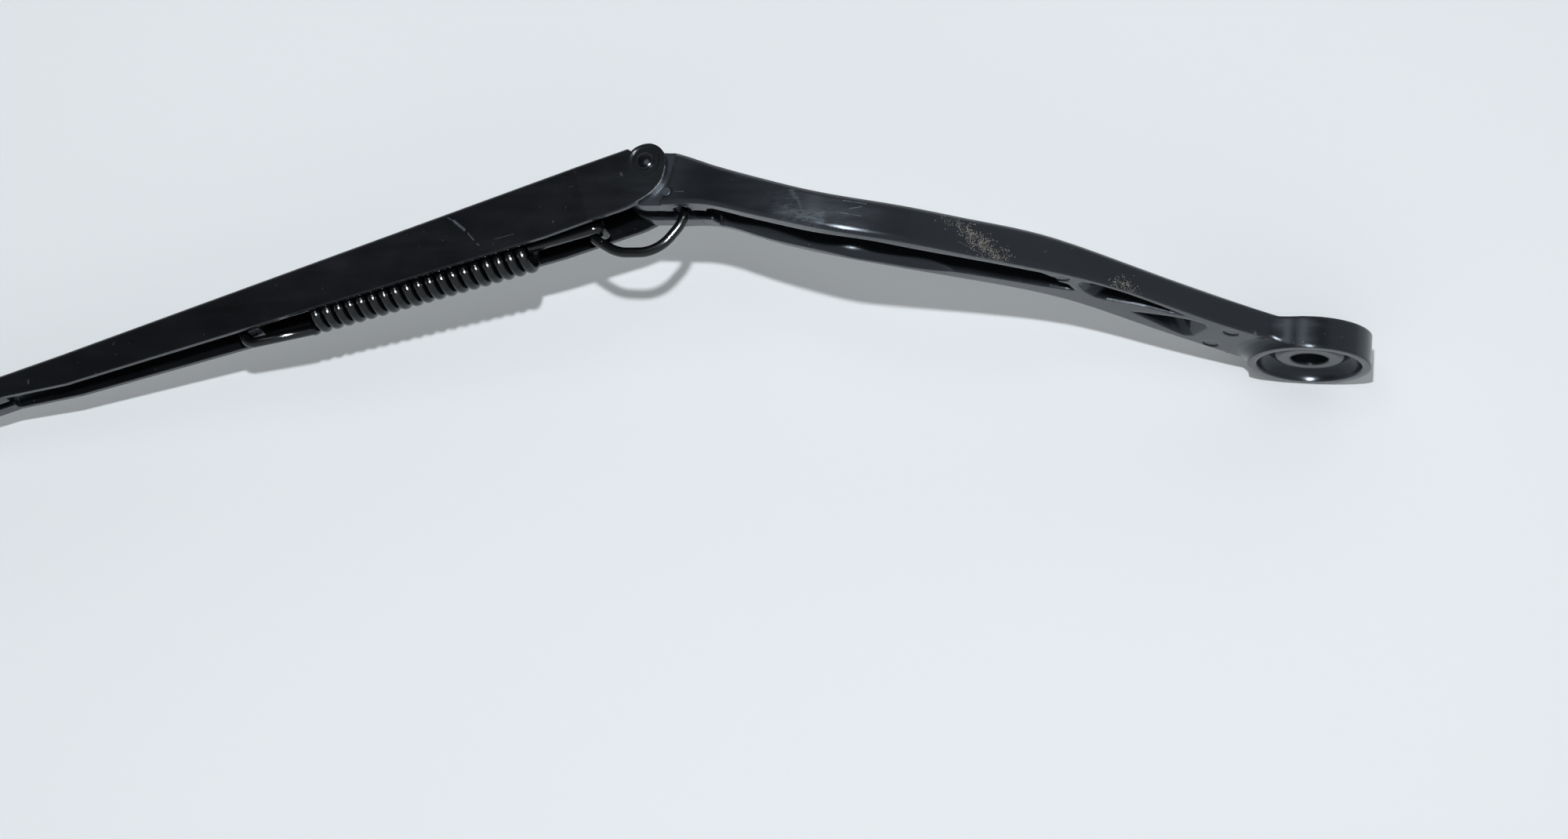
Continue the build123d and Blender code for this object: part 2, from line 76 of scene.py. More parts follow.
# Spring, in millimetres: places along the folded arm and square to it, then its two ends
COIL_START = (34.9, -9.8)
COIL_END = (96.4, -6.1)
HOOK_CENTRE = (112.0, -4.8)
EYE_LEG = 1.8
LEG_BEND_R = 2.0
HOOK_R = 2.8
HOOK_TAIL = 4.2
POINTS_A_TURN = 28

# Link, in millimetres: levels and places from the hinge axis
PIN_R = 1.1
WIRE_FIT = 0.06
LINK_KNEE_Z = -12.6
LINK_BOTTOM_X = -2.3
LINK_BOTTOM_Z = -21.0
LINK_BEND_R = 10.0
LINK_RISE = math.radians(30)

# Rivet, in millimetres from the middle of the hinge
RIVET_R = 2.5
RIVET_SHOULDER = 7.75
RIVET_SPIGOT_R = 1.70
RIVET_HEAD_R = 2.30
RIVET_RIM = 0.30
RIVET_DOME = 0.60
RIVET_EDGE = 0.02
RIVET_SEGMENTS = 48
DOME_STEPS = 7
EAR_SEAT = 9.1
EAR_FACE = 9.3

# Fineness of the paint's patterns, in cells a metre
CLOUD = 60.0
SMEAR = (60.0, 60.0, 420.0)
SCUFF = (420.0, 420.0, 2400.0)
RAGGED = 420.0
PEEL = 900.0
SPECKS = 1300.0
GRAIN = 3100.0
FLAKES = 3900.0

# Reflection tints of paint and of coated wire
PAINT_GLEAM = (0.76, 0.87, 1.0)
WIRE_GLEAM = (0.88, 0.95, 1.0)

# Table on which the arm lies on its side: a point under the boss, its direction and half its width
TABLE_FOOT = Vector((0.0044, -0.0154, 0.0))
TABLE_RUN = Vector((0.9826, 0.1857, 0.0)).normalized()
TABLE_HALF = 3.0

# Room: the directions of its dim part and of the soft patch of light, and the tint of its walls
ROOM_DIM_WAY = Vector((0.22, 0.93, 0.28)).normalized()
WINDOW_WAY = Vector((0.11, 0.97, 0.19)).normalized()
ROOM_TINT = (1.0, 1.0, 0.98, 1.0)

# Lamps, close over the camera
LAMP_PLACE = Vector((-0.108, 0.975, -0.094))
LAMP_AIM = Vector((0.15, 0.05, 0.005))
KEY_SIZE = 0.03
GLINT_SIZE = 0.19

# Camera
CAMERA_PLACE = Vector((-0.1391, 0.9537, -0.3038))
CAMERA_RIGHT = Vector((-0.9634, -0.2574, 0.0754)).normalized()
CAMERA_UP = Vector((-0.0013, 0.2858, 0.9583)).normalized()
CAMERA_BACK = Vector((-0.2682, 0.9231, -0.2756)).normalized()
CAMERA_LENS = 90.0
CAMERA_SENSOR = 36.0
CAMERA_NEAR = 0.01


def arm_point(a, b, y=0.0):
    """Point of the folded arm, in millimetres along it, square to it and sideways from the hinge."""
    return HINGE + MM * (a * ALONG + b * ACROSS + y * Y_AXIS)


def hinge_point(x, z, y=0.0):
    """Point in millimetres from the hinge axis."""
    return HINGE + MM * Vector((x, y, z))


class PaintSettings(PropertyGroup):
    """Colours and gloss of the paint"""
    casting: FloatVectorProperty(
        name="Casting", description="Paint on the cast head", subtype="COLOR", size=3, min=0, max=1,
        default=(0.0072, 0.0083, 0.0108))
    sheet: FloatVectorProperty(
        name="Sheet", description="Paint on the channel, rivet and rod", subtype="COLOR", size=3, min=0,
        max=1, default=(0.0034, 0.0037, 0.0046))
    wire: FloatVectorProperty(
        name="Wire", description="Coating on the spring, link and pin", subtype="COLOR", size=3, min=0,
        max=1, default=(0.0030, 0.0036, 0.0042))
    bare: FloatVectorProperty(
        name="Bare metal", description="Metal and primer that show in chips", subtype="COLOR", size=3, min=0,
        max=1, default=(0.145, 0.134, 0.115))
    # Dust colour of the specks, also used for the painted sheen on rubbed paint and the matt strip between the
    # ears, and for the painted highlight along the ear's edge
    dust_and_sheen_colour: FloatVectorProperty(
        name="Dust", description="Dust specks and rubbed paint", subtype="COLOR", size=3, min=0, max=1,
        default=(0.066, 0.076, 0.094))
    gloss: FloatProperty(
        name="Roughness", description="Roughness of sound paint", subtype="FACTOR", min=0.05, max=1,
        default=0.19)


class SpringSettings(PropertyGroup):
    """Sizes of the spring's and the link's wire"""
    wire_diameter: FloatProperty(
        name="Wire", description="Thickness of the spring wire", unit="LENGTH", min=0.0005, max=0.01,
        default=0.0027)
    coil_diameter: FloatProperty(
        name="Coil", description="Outside diameter of the coil", unit="LENGTH", min=0.003, max=0.05,
        default=0.0097)
    turns: FloatProperty(
        name="Turns", description="Turns in the coil", min=1, max=80, default=19.75)
    link_diameter: FloatProperty(
        name="Link", description="Thickness of the link wire", unit="LENGTH", min=0.0005, max=0.01,
        default=0.0026)
    sides: IntProperty(
        name="Sides", description="Facets round the spring wire", min=6, max=48, default=18)
    link_sides: IntProperty(
        name="Link sides", description="Facets round the link wire", min=6, max=48, default=24)


class StageSettings(PropertyGroup):
    """Colour of the table and strength of the light"""
    table: FloatVectorProperty(
        name="Table", description="Colour of the table top", subtype="COLOR", size=3, min=0, max=1,
        default=(0.745, 0.792, 0.832))
    key: FloatProperty(
        name="Key light", description="Power of the lamp above the camera", unit="POWER", min=0, max=500,
        default=6.3)
    glint: FloatProperty(
        name="Glint", description="Power of the panel that only shows in reflections", unit="POWER", min=0,
        max=500, default=24.0)
    room_dim: FloatProperty(
        name="Dim room", description="Strength of the room's light from over the arm", min=0, max=5,
        default=0.08)
    room_bright: FloatProperty(
        name="Bright room", description="Strength of the room's light from the sides", min=0, max=5,
        default=0.56)
    skylight: FloatProperty(
        name="Skylight", description="Strength of the room's light along the spindle", min=0, max=5,
        default=0.30)
    window: FloatProperty(
        name="Window", description="Strength of the soft patch of light over the arm", min=0, max=20,
        default=2.4)


class Nodes:
    """Short way to add and join nodes in one tree."""

    def __init__(self, tree):
        self.tree = tree

    def add(self, kind, inputs=None, **fields):
        node = self.tree.nodes.new(kind)
        for key, value in fields.items():
            setattr(node, key, value)
        for key, value in (inputs or {}).items():
            self.feed(node, key, value)
        return node

    def feed(self, node, key, value):
        socket = node.inputs[key]
        if isinstance(value, bpy.types.NodeSocket):
            self.tree.links.new(value, socket)
        else:
            socket.default_value = value

    def math(self, operation, *values):
        node = self.add("ShaderNodeMath", operation=operation)
        for index, value in enumerate(values):
            self.feed(node, index, value)
        return node.outputs[0]

    def vector(self, operation, *values, out="Vector"):
        node = self.add("ShaderNodeVectorMath", operation=operation)
        for index, value in enumerate(values):
            self.feed(node, index, value)
        return node.outputs[out]

    def dot(self, first, second):
        return self.vector("DOT_PRODUCT", first, second, out="Value")

    def ramp(self, value, low, high, start=0.0, end=1.0, curve="LINEAR"):
        ends = {"Value": value, "From Min": low, "From Max": high, "To Min": start, "To Max": end}
        return self.add("ShaderNodeMapRange", ends, interpolation_type=curve).outputs["Result"]

    def noise(self, where, scale, detail=3.0, rough=0.55):
        inputs = {"Vector": where, "Scale": scale, "Detail": detail, "Roughness": rough}
        return self.add("ShaderNodeTexNoise", inputs).outputs["Fac"]

    def mix(self, share, first, second):
        """Mix of two colours, whose sockets share their names with other types and go by number."""
        node = self.add("ShaderNodeMix", {0: share, 6: first, 7: second}, data_type="RGBA")
        return node.outputs[2]


def tint(colour, factor):
    return tuple(min(1.0, channel * factor) for channel in colour) + (1.0,)


def line_mask(n, where, start, end, radius, core):
    """1 within the core's share of the radius from a straight line, 0 from the radius out."""
    run = Vector(end) - Vector(start)
    offset = n.vector("SUBTRACT", where, tuple(start))
    share = n.ramp(n.dot(offset, tuple(run / run.length_squared)), 0.0, 1.0)
    nearest = n.add("ShaderNodeVectorMath", operation="SCALE")
    n.feed(nearest, 0, tuple(run))
    n.feed(nearest, "Scale", share)
    gap = n.vector("SUBTRACT", offset, nearest.outputs[0])
    return n.ramp(n.vector("LENGTH", gap, out="Value"), radius, radius * core)


def box_mask(n, where, low, high, border):
    """1 inside a box, 0 from the border's width out."""
    mask = 1.0
    parts = n.add("ShaderNodeSeparateXYZ", {"Vector": where}).outputs
    for part, least, most in zip(parts, low, high):
        mask = n.math("MULTIPLY", mask, n.ramp(part, least - border, least))
        mask = n.math("MULTIPLY", mask, n.ramp(part, most + border, most))
    return mask


def add_chips(n, where, bare, chips):
    """Flakes of lost paint, thickest along each chip's line and ragged towards its radius."""
    flakes = n.add("ShaderNodeTexVoronoi", {"Vector": where, "Scale": FLAKES}).outputs
    chance = n.add("ShaderNodeSeparateXYZ", {"Vector": flakes["Color"]}).outputs[0]
    flake = n.ramp(flakes["Distance"], 0.62, 0.42)
    unevenness = n.ramp(n.noise(where, RAGGED, 2.0), 0.35, 0.65, -0.6, 0.6)
    for start, end, radius, cover in chips:
        patch = line_mask(n, where, start, end, radius, 0.1)
        ragged = n.math("MULTIPLY", n.math("ADD", patch, unevenness), patch)
        lost = n.math("LESS_THAN", chance, n.math("MULTIPLY", ragged, cover))
        bare = n.math("MAXIMUM", bare, n.math("MULTIPLY", lost, flake))
    return bare


def add_dull_boxes(n, where, dust_and_sheen, boxes):
    """Dull paint inside each box, painted paler as a painted sheen of its matt surface."""
    border = 0.2 * MM
    for low, high, strength in boxes:
        inside = n.math("MULTIPLY", box_mask(n, where, low, high, border), strength)
        dust_and_sheen = n.math("MAXIMUM", dust_and_sheen, inside)
    return dust_and_sheen


def add_rubs_and_sheen(n, where, dust_and_sheen, rubs_and_sheen, smear):
    """Painted sheen over rubbed patches, fading out from a line, smeared and with a scuffed grain."""
    smeared = n.ramp(smear, 0.30, 0.70, 0.4, 1.0)
    scuffed = n.ramp(n.noise(n.vector("MULTIPLY", where, SCUFF), 1.0, 4.0, 0.7), 0.40, 0.68, 0.25, 1.6)
    for start, end, radius, strength in rubs_and_sheen:
        rub_and_sheen = n.math("MULTIPLY", line_mask(n, where, start, end, radius, 0.0), strength)
        rub_and_sheen = n.math("MULTIPLY", rub_and_sheen, smeared)
        dust_and_sheen = n.math("MAXIMUM", dust_and_sheen, n.math("MULTIPLY", rub_and_sheen, scuffed))
    return dust_and_sheen


def add_scratches_and_highlights(n, where, dust_and_sheen, scratches_and_highlights, grain):
    """Thin pale lines, broken up by the grain: scratch marks, and painted highlights along edges."""
    broken = n.ramp(grain, 0.34, 0.58, 0.1, 1.0)
    for start, end, radius, strength in scratches_and_highlights:
        line = n.math("MULTIPLY", line_mask(n, where, start, end, radius, 0.35), broken)
        dust_and_sheen = n.math("MAXIMUM", dust_and_sheen, n.math("MULTIPLY", line, strength))
    return dust_and_sheen


def paint_material(name, colour, gloss, paint, edge=0.6 * MM, wear=0.3, specks=0.5, chips=(), scratches_and_highlights=(),
                   rubs_and_sheen=(), dull=(), gleam=PAINT_GLEAM, relief=0.10):
    """Black paint with uneven gloss and fine orange peel. Dust specks, worn edges and the listed marks, among them
    painted sheen and painted highlights.
    """
    material = bpy.data.materials.new(name)
    material.use_nodes = True
    n = Nodes(material.node_tree)
    shader = material.node_tree.nodes["Principled BSDF"]
    where = n.add("ShaderNodeTexCoord").outputs["Object"]
    cloud = n.noise(where, CLOUD, 4.0)
    smear = n.noise(n.vector("MULTIPLY", where, SMEAR), 1.0, 3.0)
    peel = n.noise(where, PEEL, 1.0)
    grain = n.noise(where, GRAIN, 2.0, 0.6)

    # Bare metal on worn edges and in chips
    round_normal = n.add("ShaderNodeBevel", {"Radius": edge}, samples=6).outputs["Normal"]
    flat_normal = n.add("ShaderNodeNewGeometry").outputs["Normal"]
    corner = n.ramp(n.dot(round_normal, flat_normal), 0.97, 0.86)
    worn = n.math("MULTIPLY", corner, n.ramp(grain, 0.56, 0.66))
    bare = n.math("MULTIPLY", worn, wear)
    if chips:
        bare = add_chips(n, where, bare, chips)

    # Pale marks, in the Dust colour: specks, scratch marks, painted sheen on matt places and rubbed paint, and
    # painted highlights along edges
    dust_and_sheen = n.math("MULTIPLY", n.ramp(n.noise(where, SPECKS, 0.0), 0.83, 0.88), specks)
    if dull:
        dust_and_sheen = add_dull_boxes(n, where, dust_and_sheen, dull)
    if rubs_and_sheen:
        dust_and_sheen = add_rubs_and_sheen(n, where, dust_and_sheen, rubs_and_sheen, smear)
    if scratches_and_highlights:
        dust_and_sheen = add_scratches_and_highlights(n, where, dust_and_sheen, scratches_and_highlights, grain)

    sound = n.mix(n.ramp(cloud, 0.3, 0.7), tint(colour, 0.80), tint(colour, 1.20))
    # Speck colour laid over the paint, also as painted sheen and painted highlights
    marked = n.mix(dust_and_sheen, sound, tint(paint.dust_and_sheen_colour, 1.0))
    metal = n.mix(n.ramp(peel, 0.35, 0.65), tint(paint.bare, 0.6), tint(paint.bare, 1.35))
    n.feed(shader, "Base Color", n.mix(bare, marked, metal))

    streak = n.math("ADD", n.math("MULTIPLY", cloud, 0.5), n.math("MULTIPLY", smear, 0.5))
    rough = n.ramp(streak, 0.3, 0.7, gloss - 0.05, gloss + 0.07)
    spoilt = n.math("MAXIMUM", bare, dust_and_sheen)
    n.feed(shader, "Roughness", n.math("ADD", rough, n.math("MULTIPLY", spoilt, 0.30)))

    skin = n.math("SUBTRACT", n.math("MULTIPLY", peel, 0.5), n.math("MULTIPLY", bare, 1.2))
    bump = n.add("ShaderNodeBump", {"Strength": relief, "Distance": 0.1 * MM, "Height": skin})
    n.feed(bump, "Normal", round_normal)
    n.feed(shader, "Normal", bump.outputs["Normal"])
    shader.inputs["Specular IOR Level"].default_value = 0.45
    shader.inputs["Specular Tint"].default_value = (*gleam, 1.0)
    return material


def dress(node, material):
    """Gives a solid of the frame one material."""
    mesh = frame["nodes"][node].data
    mesh.materials.clear()
    mesh.materials.append(material)


class WIPER_OT_paint_head(Operator):
    """Paints the cast head, chipped and scratched on the side that faces the camera, with a painted sheen over
    scuffed paint at its bend
    """
    bl_idname = "wiper.paint_head"
    bl_label = "Paint the head"

    def execute(self, context):
        paint = context.scene.wiper_paint
        # Start, end and radius of each mark in metres, then its cover or strength
        chips = [
            ((0.0822, 0.0635, 0.0140), (0.0770, 0.0600, 0.0120), 0.0034, 0.34),
            ((0.0772, 0.0601, 0.0119), (0.0725, 0.0568, 0.0074), 0.0048, 0.62),
            ((0.0725, 0.0568, 0.0074), (0.0690, 0.0545, 0.0062), 0.0044, 0.44),
            ((0.0424, 0.0381, 0.0053), (0.0402, 0.0368, 0.0043), 0.0034, 0.56),
            ((0.0398, 0.0362, 0.0036), (0.0384, 0.0338, 0.0029), 0.0016, 0.70),
        ]
        # Painted sheen at the bend, over rubbed and scuffed paint
        rubs_and_sheen = [
            ((0.1195, 0.0762, 0.0120), (0.1130, 0.0760, 0.0096), 0.0052, 0.75),
            ((0.1200, 0.0762, 0.0150), (0.1100, 0.0757, 0.0100), 0.0075, 0.16),
            ((0.1185, 0.0763, 0.0170), (0.1150, 0.0763, 0.0120), 0.0014, 0.60),
            ((0.1170, 0.0762, 0.0098), (0.1110, 0.0756, 0.0088), 0.0022, 1.00),
            ((0.1110, 0.0756, 0.0088), (0.1010, 0.0733, 0.0070), 0.0030, 0.14),
            ((0.1330, 0.0760, 0.0222), (0.1215, 0.0760, 0.0193), 0.0014, 0.20),
        ]
        scratches_and_highlights = [
            ((0.1056, 0.0749, 0.0149), (0.1000, 0.0731, 0.0145), 0.00018, 0.6),
            ((0.1040, 0.0744, 0.0128), (0.1010, 0.0734, 0.0137), 0.00016, 0.5),
            ((0.1066, 0.0752, 0.0117), (0.1010, 0.0734, 0.0112), 0.00014, 0.5),
            ((0.1168, 0.0763, 0.0150), (0.1152, 0.0763, 0.0112), 0.00016, 0.7),
            ((0.1180, 0.0763, 0.0118), (0.1138, 0.0762, 0.0098), 0.00018, 0.8),
            ((0.1150, 0.0763, 0.0108), (0.1118, 0.0761, 0.0100), 0.00020, 0.7),
            ((0.1490, 0.0753, 0.0178), (0.1467, 0.0753, 0.0178), 0.00014, 0.7),
            ((0.0790, 0.0613, 0.0085), (0.0740, 0.0578, 0.0066), 0.00016, 0.6),
        ]
        # Matt strip between the ears, painted paler as a painted sheen: lowest corner, highest corner and strength
        between_ears = [((0.1470, 0.0570, -0.01), (0.1700, 0.0738, 0.04), 0.16)]
        coat = paint_material("cast_paint", paint.casting, paint.gloss, paint, edge=1.1 * MM, wear=0.10,
                              chips=chips, scratches_and_highlights=scratches_and_highlights, rubs_and_sheen=rubs_and_sheen, dull=between_ears)
        dress("mounting_head", coat)
        return {"FINISHED"}


class WIPER_OT_paint_channel(Operator):
    """Paints the folded channel, scratched, with the worn and chipped edge of its ear and a painted highlight
    along that edge
    """
    bl_idname = "wiper.paint_channel"
    bl_label = "Paint the channel"

    def execute(self, context):
        paint = context.scene.wiper_paint
        # Start, end and radius of each mark in metres, then its strength
        scratches_and_highlights = [
            ((0.2089, 0.0743, 0.0122), (0.2064, 0.0744, 0.0107), 0.00022, 0.8),
            ((0.2072, 0.0744, 0.0113), (0.2040, 0.0745, 0.0088), 0.00042, 1.0),
            ((0.2030, 0.0745, 0.0079), (0.2012, 0.0745, 0.0060), 0.00024, 0.7),
            ((0.2003, 0.0745, 0.0050), (0.1996, 0.0746, 0.0046), 0.00022, 0.6),
            ((0.1958, 0.0747, 0.0061), (0.1907, 0.0748, 0.0074), 0.00014, 0.45),
            ((0.3208, 0.0716, -0.0296), (0.3207, 0.0716, -0.0304), 0.00035, 0.6),
            ((0.1636, 0.0753, 0.0229), (0.1633, 0.0753, 0.0224), 0.00035, 0.6),
            ((0.1770, 0.0752, 0.0196), (0.1758, 0.0752, 0.0197), 0.00014, 0.5),
        ]
        # Painted highlight along the ear's outer edge, with chips of worn paint on it
        outline = [(-5.5, -1.5), (-4.95, -4.6), (-4.63, -5.7), (-3.5, -7.4), (-2.09, -8.75), (-0.4, -9.95),
                   (1.46, -11.04)]
        ear_edge = [hinge_point(x, z, EAR_FACE) for x, z in outline]
        scratches_and_highlights += [(start, end, 0.00028, 0.8) for start, end in zip(ear_edge, ear_edge[1:])]
        chips = [(start, end, 0.0006, 0.80) for start, end in zip(ear_edge[2:], ear_edge[3:5])]
        coat = paint_material("channel_paint", paint.sheet, paint.gloss, paint, edge=0.5 * MM, wear=0.12,
                              specks=0.35, chips=chips, scratches_and_highlights=scratches_and_highlights)
        dress("arm_channel", coat)
        return {"FINISHED"}


class WIPER_OT_paint_rod(Operator):
    """Paints the flat rod and its hook, paler at the spring's lug"""
    bl_idname = "wiper.paint_rod"
    bl_label = "Paint the rod"

    def execute(self, context):
        paint = context.scene.wiper_paint
        # Pale patch on the lug's near edge
        rubs_and_sheen = [(arm_point(110.9, -5.2, 3.6), arm_point(110.9, -4.4, 3.6), 0.0034, 0.85)]
        coat = paint_material("rod_paint", paint.sheet, paint.gloss + 0.04, paint, edge=0.5 * MM, wear=0.15,
                              specks=0.4, rubs_and_sheen=rubs_and_sheen)
        dress("wiper_rod", coat)
        return {"FINISHED"}


class WIPER_OT_coat_pin(Operator):
    """Coats the pin that carries the link, worn paler than the wire"""
    bl_idname = "wiper.coat_pin"
    bl_label = "Coat the link pin"

    def execute(self, context):
        paint = context.scene.wiper_paint
        colour = tint(paint.wire, 12.0)[:3]
        coat = paint_material("pin_steel", colour, paint.gloss, paint, edge=0.4 * MM, wear=0.9)
        dress("link_pin", coat)
        return {"FINISHED"}


def wire_tree():
    """Geometry Nodes tree that turns a path into round wire."""
    tree = bpy.data.node_groups.new("round_wire", "GeometryNodeTree")
    tree.is_modifier = True
    face = tree.interface
    face.new_socket("Path", in_out="INPUT", socket_type="NodeSocketGeometry")
    face.new_socket("Wire Diameter", in_out="INPUT", socket_type="NodeSocketFloat")
    face.new_socket("Sides", in_out="INPUT", socket_type="NodeSocketInt")
    face.new_socket("Coating", in_out="INPUT", socket_type="NodeSocketMaterial")
    face.new_socket("Wire", in_out="OUTPUT", socket_type="NodeSocketGeometry")
    n = Nodes(tree)
    given = n.add("NodeGroupInput").outputs
    radius = n.math("MULTIPLY", given["Wire Diameter"], 0.5)
    ring = n.add("GeometryNodeCurvePrimitiveCircle", {"Radius": radius, "Resolution": given["Sides"]})
    tube = n.add("GeometryNodeCurveToMesh", {"Curve": given["Path"], "Fill Caps": True})
    n.feed(tube, "Profile Curve", ring.outputs["Curve"])
    smooth = n.add("GeometryNodeSetShadeSmooth", {"Geometry": tube.outputs["Mesh"]})
    real = n.add("GeometryNodeRealizeInstances", {"Geometry": smooth.outputs["Geometry"]})
    coated = n.add("GeometryNodeSetMaterial", {"Geometry": real.outputs["Geometry"]})
    n.feed(coated, "Material", given["Coating"])
    n.add("NodeGroupOutput", {"Wire": coated.outputs["Geometry"]})
    return tree


def arc(centre, first, second, start, end, count):
    """Points round a centre from start to end degrees, first and second being the two half axes."""
    points = []
    for i in range(count + 1):
        angle = math.radians(start + (end - start) * i / count)
        points.append(centre + math.cos(angle) * first + math.sin(angle) * second)
    return points


def rounded(corners, radius, count=10):
    """Points along straight runs whose corners are rounded to a radius."""
    points = [corners[0]]
    for before, here, after in zip(corners, corners[1:], corners[2:]):
        back = (before - here).normalized()
        ahead = (after - here).normalized()
        half = back.angle(ahead) / 2
        middle = (back + ahead).normalized()
        centre = here + middle * (radius / math.sin(half))
        first = here + back * (radius / math.tan(half)) - centre
        sweep = math.pi - 2 * half
        side = (ahead - ahead.dot(first) / first.length_squared * first).normalized() * radius
        points += arc(centre, first, side, 0, math.degrees(sweep), count)
    points.append(corners[-1])
    return points


def spring_path(spring):
    """Centre line of the spring from its cut end at the link to its cut end at the lug."""
    mean = (spring.coil_diameter - spring.wire_diameter) / 2
    start = arm_point(*COIL_START)
    end = arm_point(*COIL_END)
    over = (end - start).normalized().cross(Y_AXIS)

    # Leg from the link's curl back to the coil
    elbow = SPRING_EYE + mean * Y_AXIS
    back = (start + mean * Y_AXIS - elbow).normalized()
    bend = LEG_BEND_R * MM
    points = [SPRING_EYE - EYE_LEG * MM * Y_AXIS]
    points += arc(elbow + bend * (back - Y_AXIS), -bend * back, bend * Y_AXIS, 0, 90, 10)

    # Coil
    steps = int(spring.turns * POINTS_A_TURN)
    for i in range(steps + 1):
        turn = 2 * math.pi * spring.turns * i / steps
        centre = start + (end - start) * i / steps
        points.append(centre + mean * (math.cos(turn) * Y_AXIS + math.sin(turn) * over))

    # Hook through the lug's hole
    hook = arm_point(*HOOK_CENTRE)
    reach = HOOK_R * MM
    points += arc(hook, -reach * ACROSS, reach * ALONG, 0, 180, 18)
    points.append(hook + reach * ACROSS - HOOK_TAIL * MM * ALONG)
    return points, start, end


def link_path(wire, thick):
    """Centre line of the link from its hook over the pin to its curl round the spring's leg."""
    grip = (PIN_R + WIRE_FIT) * MM + thick / 2
    curl = wire / 2 + WIRE_FIT * MM + thick / 2
    meet = SPRING_EYE + curl * (math.sin(LINK_RISE) * X_AXIS - math.cos(LINK_RISE) * Z_AXIS)
    bottom = hinge_point(LINK_BOTTOM_X, LINK_BOTTOM_Z)
    heel = Vector((meet.x - (meet.z - bottom.z) / math.tan(LINK_RISE), meet.y, bottom.z))
    shank = LINK_PIN - grip * X_AXIS
    knee = Vector((shank.x, shank.y, hinge_point(0, LINK_KNEE_Z).z))
    points = arc(LINK_PIN, grip * X_AXIS, grip * Z_AXIS, 0, 180, 18)
    points += rounded([shank, knee, bottom, heel, meet], LINK_BEND_R * MM)[1:-1]
    points += arc(SPRING_EYE, curl * X_AXIS, curl * Z_AXIS, math.degrees(LINK_RISE) - 90, 90, 20)
    return points


def draw_wire(context, name, points, diameter, sides, coat):
    """Round wire along the points, as a plain mesh made by the Geometry Nodes tree."""
    curve = bpy.data.curves.new(name + "_path", "CURVE")
    curve.dimensions = "3D"
    line = curve.splines.new("POLY")
    line.points.add(len(points) - 1)
    for point, place in zip(line.points, points):
        point.co = (*place, 1.0)
    path = bpy.data.objects.new(name + "_path", curve)
    context.scene.collection.objects.link(path)
    tree = bpy.data.node_groups.get("round_wire") or wire_tree()
    modifier = path.modifiers.new("wire", "NODES")
    modifier.node_group = tree
    values = {"Wire Diameter": diameter, "Sides": sides, "Coating": coat}
    for item in tree.interface.items_tree:
        if item.in_out == "INPUT" and item.name in values:
            modifier[item.identifier] = values[item.name]
    context.view_layer.update()
    mesh = bpy.data.meshes.new_from_object(path.evaluated_get(context.evaluated_depsgraph_get()))
    bpy.data.objects.remove(path)
    wire = bpy.data.objects.new(name, mesh)
    context.scene.collection.objects.link(wire)
    return wire


def wire_coat(name, paint):
    """Glossy black coating of the spring and the link."""
    return paint_material(name, paint.wire, paint.gloss - 0.07, paint, wear=0.0, gleam=WIRE_GLEAM,
                          relief=0.01)


class WIPER_OT_bend_link(Operator):
    """Bends the link from round wire, from the pin in the head to the spring's leg"""
    bl_idname = "wiper.bend_link"
    bl_label = "Bend the link"

    def execute(self, context):
        spring = context.scene.wiper_spring
        coat = wire_coat("link_steel", context.scene.wiper_paint)
        points = link_path(spring.wire_diameter, spring.link_diameter)
        wire = draw_wire(context, "link_wire", points, spring.link_diameter, spring.link_sides, coat)
        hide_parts("spring_link")
        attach(wire, "link")
        return {"FINISHED"}


def lathe(name, profile, centre, axis, segments):
    """Mesh turned from a profile of (radius, distance along the axis) that starts and ends on the axis."""
    axis = axis.normalized()
    first = axis.orthogonal().normalized()
    second = axis.cross(first)
    verts = [centre + axis * profile[0][1], centre + axis * profile[-1][1]]
    rings = profile[1:-1]
    for radius, along in rings:
        for i in range(segments):
            angle = 2 * math.pi * i / segments
            spoke = math.cos(angle) * first + math.sin(angle) * second
            verts.append(centre + axis * along + radius * spoke)
    faces = []
    for i in range(segments):
        j = (i + 1) % segments
        faces.append((0, 2 + j, 2 + i))
        for r in range(len(rings) - 1):
            low = 2 + r * segments
            high = low + segments
            faces.append((low + i, low + j, high + j, high + i))
        last = 2 + (len(rings) - 1) * segments
        faces.append((1, last + i, last + j))
    mesh = bpy.data.meshes.new(name)
    mesh.from_pydata([tuple(v) for v in verts], [], faces)
    mesh.update()
    return mesh


def rivet_profile():
    """Profile of the whole rivet in metres: shank, shoulders, spigots and two domed heads."""
    edge = RIVET_EDGE
    half = [
        (RIVET_R, RIVET_SHOULDER - edge),
        (RIVET_R - edge, RIVET_SHOULDER),
        (RIVET_SPIGOT_R + edge, RIVET_SHOULDER),
        (RIVET_SPIGOT_R, RIVET_SHOULDER + edge),
        (RIVET_SPIGOT_R, EAR_SEAT - edge),
        (RIVET_SPIGOT_R + edge, EAR_SEAT),
        (RIVET_HEAD_R - 2 * edge, EAR_SEAT),
        (RIVET_HEAD_R, EAR_SEAT + 2 * edge),
        (RIVET_HEAD_R, EAR_SEAT + RIVET_RIM),
    ]
    for step in range(1, DOME_STEPS):
        angle = math.radians(90 * step / DOME_STEPS)
        height = RIVET_RIM + RIVET_DOME * math.sin(angle)
        half.append((RIVET_HEAD_R * math.cos(angle), EAR_SEAT + height))
    half.append((0, EAR_SEAT + RIVET_RIM + RIVET_DOME))
    whole = [(radius, -along) for radius, along in reversed(half)] + half
    return [(radius * MM, along * MM) for radius, along in whole]


